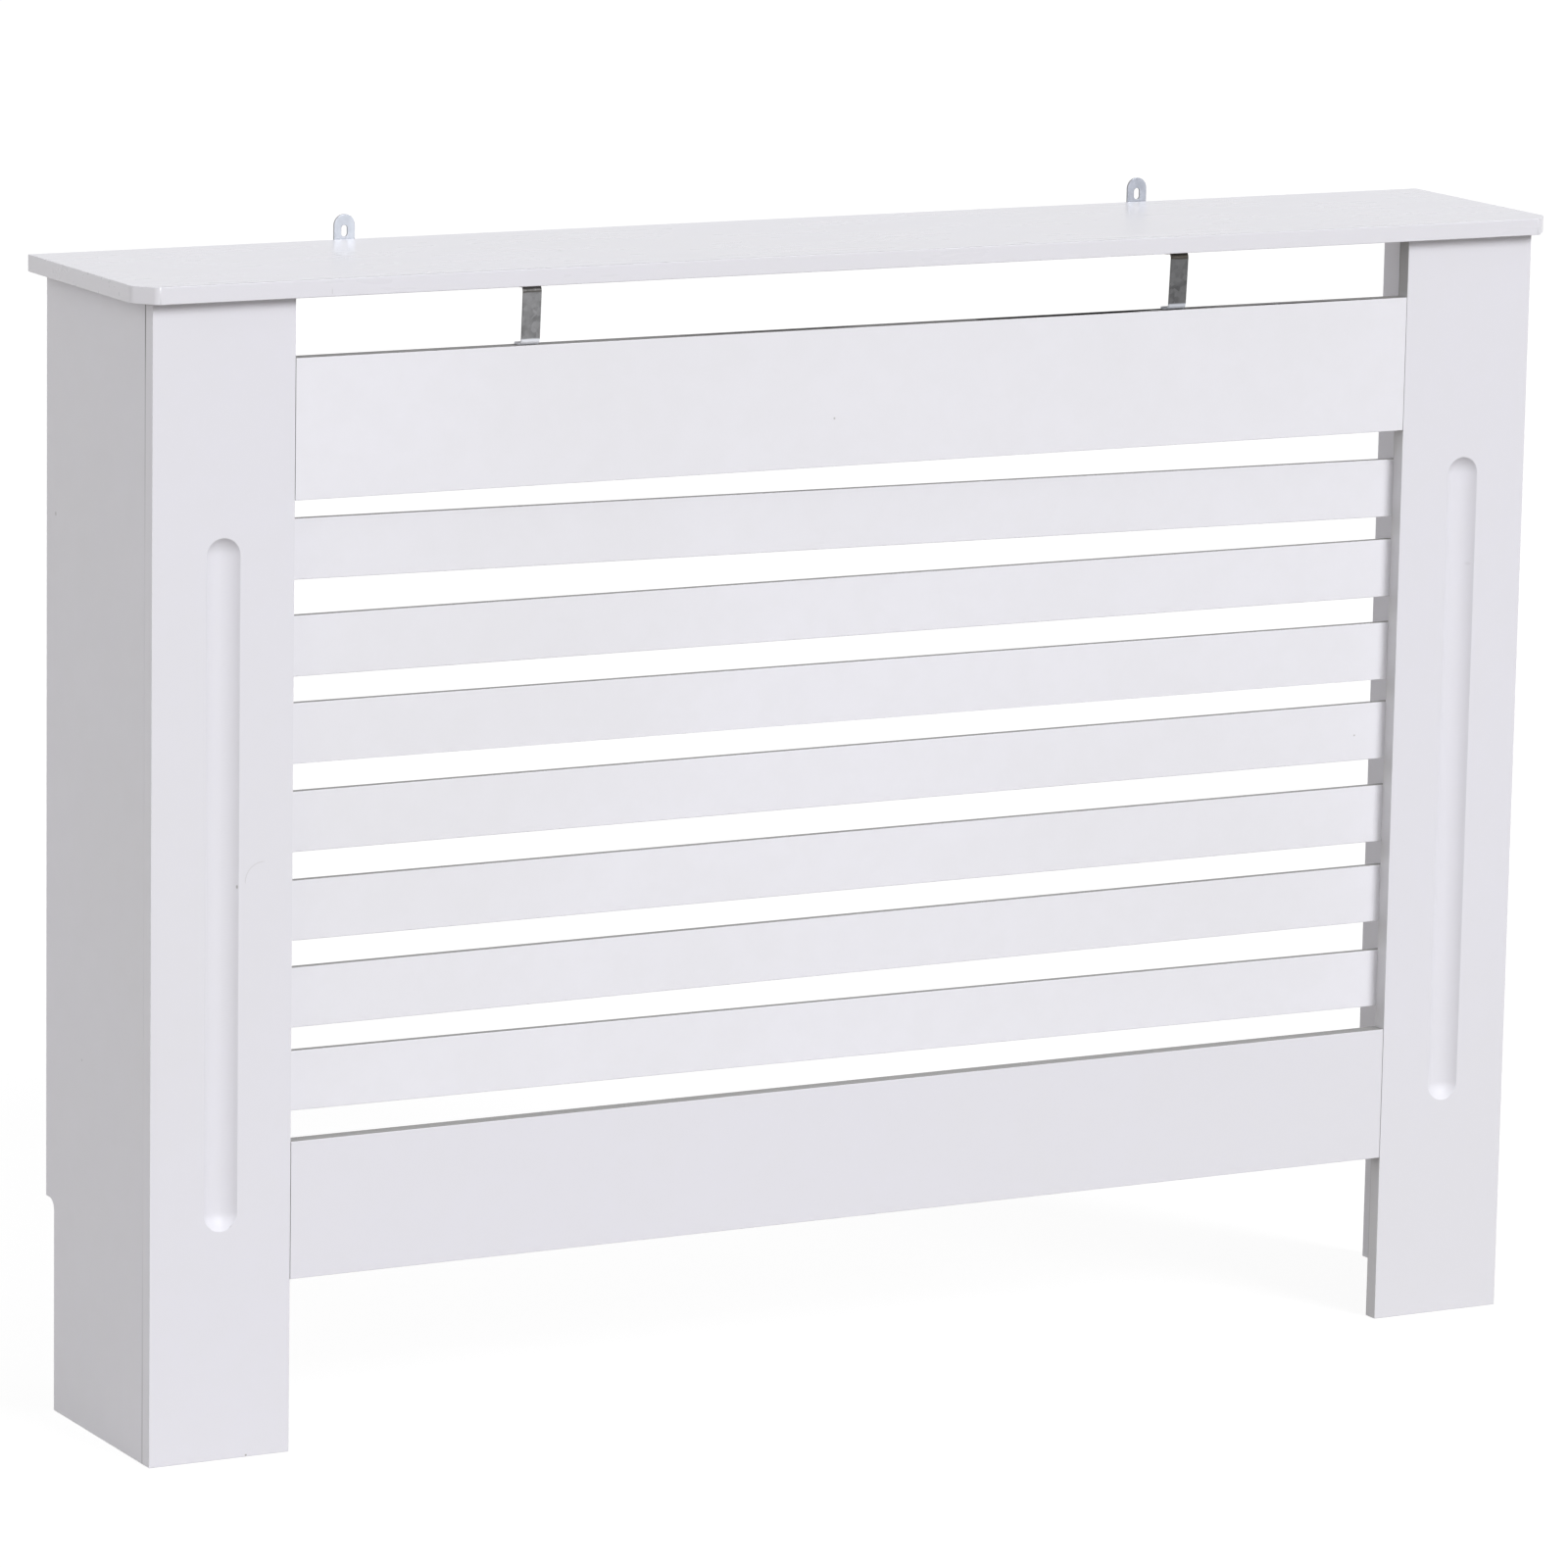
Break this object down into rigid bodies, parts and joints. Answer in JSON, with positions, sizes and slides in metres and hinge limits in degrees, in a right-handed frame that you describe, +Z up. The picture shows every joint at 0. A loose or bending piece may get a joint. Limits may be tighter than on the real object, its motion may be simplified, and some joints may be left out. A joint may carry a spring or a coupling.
{
  "type": "radiator cover cabinet",
  "caption": "White slatted radiator cover cabinet: top board on side panels, fluted pilasters, horizontal rails and slats, open back, skirting notches and wall tabs.",
  "frame": {"origin": "on the floor, under the middle of the cabinet's bounding box", "axes": "+X along the cabinet to the right as seen from the room, +Y towards the wall, +Z up"},
  "size_m": [1.12, 0.1918, 0.8325],
  "materials": {
    "white_paint": "white satin paint on fibreboard",
    "galvanised_steel": "galvanised sheet with a dull spangle",
    "zinc_plate": "bright zinc-plated sheet",
    "zinc_screw": "zinc plated",
    "softwood": "planed softwood, unfinished",
    "beech_dowel": "beech, unfinished"
  },
  "bodies": {
    "root": {"batten_screw_left_lower": "zinc_screw", "batten_screw_left_upper": "zinc_screw", "batten_screw_right_lower": "zinc_screw", "batten_screw_right_upper": "zinc_screw", "cleat_screw_left_front": "zinc_screw", "cleat_screw_left_rear": "zinc_screw", "cleat_screw_right_front": "zinc_screw", "cleat_screw_right_rear": "zinc_screw", "corner_batten_left": "softwood", "corner_batten_right": "softwood", "front_strap_left": "galvanised_steel", "front_strap_right": "galvanised_steel", "lower_rail": "white_paint", "lower_rail_dowel_left_bottom": "beech_dowel", "lower_rail_dowel_left_top": "beech_dowel", "lower_rail_dowel_right_bottom": "beech_dowel", "lower_rail_dowel_right_top": "beech_dowel", "pilaster_left": "white_paint", "pilaster_right": "white_paint", "side_panel_left": "white_paint", "side_panel_right": "white_paint", "slat_1": "white_paint", "slat_2": "white_paint", "slat_3": "white_paint", "slat_4": "white_paint", "slat_5": "white_paint", "slat_6": "white_paint", "slat_7": "white_paint", "slat_screw_1_left": "zinc_screw", "slat_screw_1_right": "zinc_screw", "slat_screw_2_left": "zinc_screw", "slat_screw_2_right": "zinc_screw", "slat_screw_3_left": "zinc_screw", "slat_screw_3_right": "zinc_screw", "slat_screw_4_left": "zinc_screw", "slat_screw_4_right": "zinc_screw", "slat_screw_5_left": "zinc_screw", "slat_screw_5_right": "zinc_screw", "slat_screw_6_left": "zinc_screw", "slat_screw_6_right": "zinc_screw", "slat_screw_7_left": "zinc_screw", "slat_screw_7_right": "zinc_screw", "strap_flange_screw_left": "zinc_screw", "strap_flange_screw_right": "zinc_screw", "strap_foot_screw_left": "zinc_screw", "strap_foot_screw_right": "zinc_screw", "tab_screw_left_front": "zinc_screw", "tab_screw_left_rear": "zinc_screw", "tab_screw_right_front": "zinc_screw", "tab_screw_right_rear": "zinc_screw", "top_board": "white_paint", "top_cleat_left": "softwood", "top_cleat_right": "softwood", "upper_rail": "white_paint", "upper_rail_dowel_left_bottom": "beech_dowel", "upper_rail_dowel_left_top": "beech_dowel", "upper_rail_dowel_right_bottom": "beech_dowel", "upper_rail_dowel_right_top": "beech_dowel", "wall_tab_left": "zinc_plate", "wall_tab_right": "zinc_plate"}
  },
  "joints": []
}
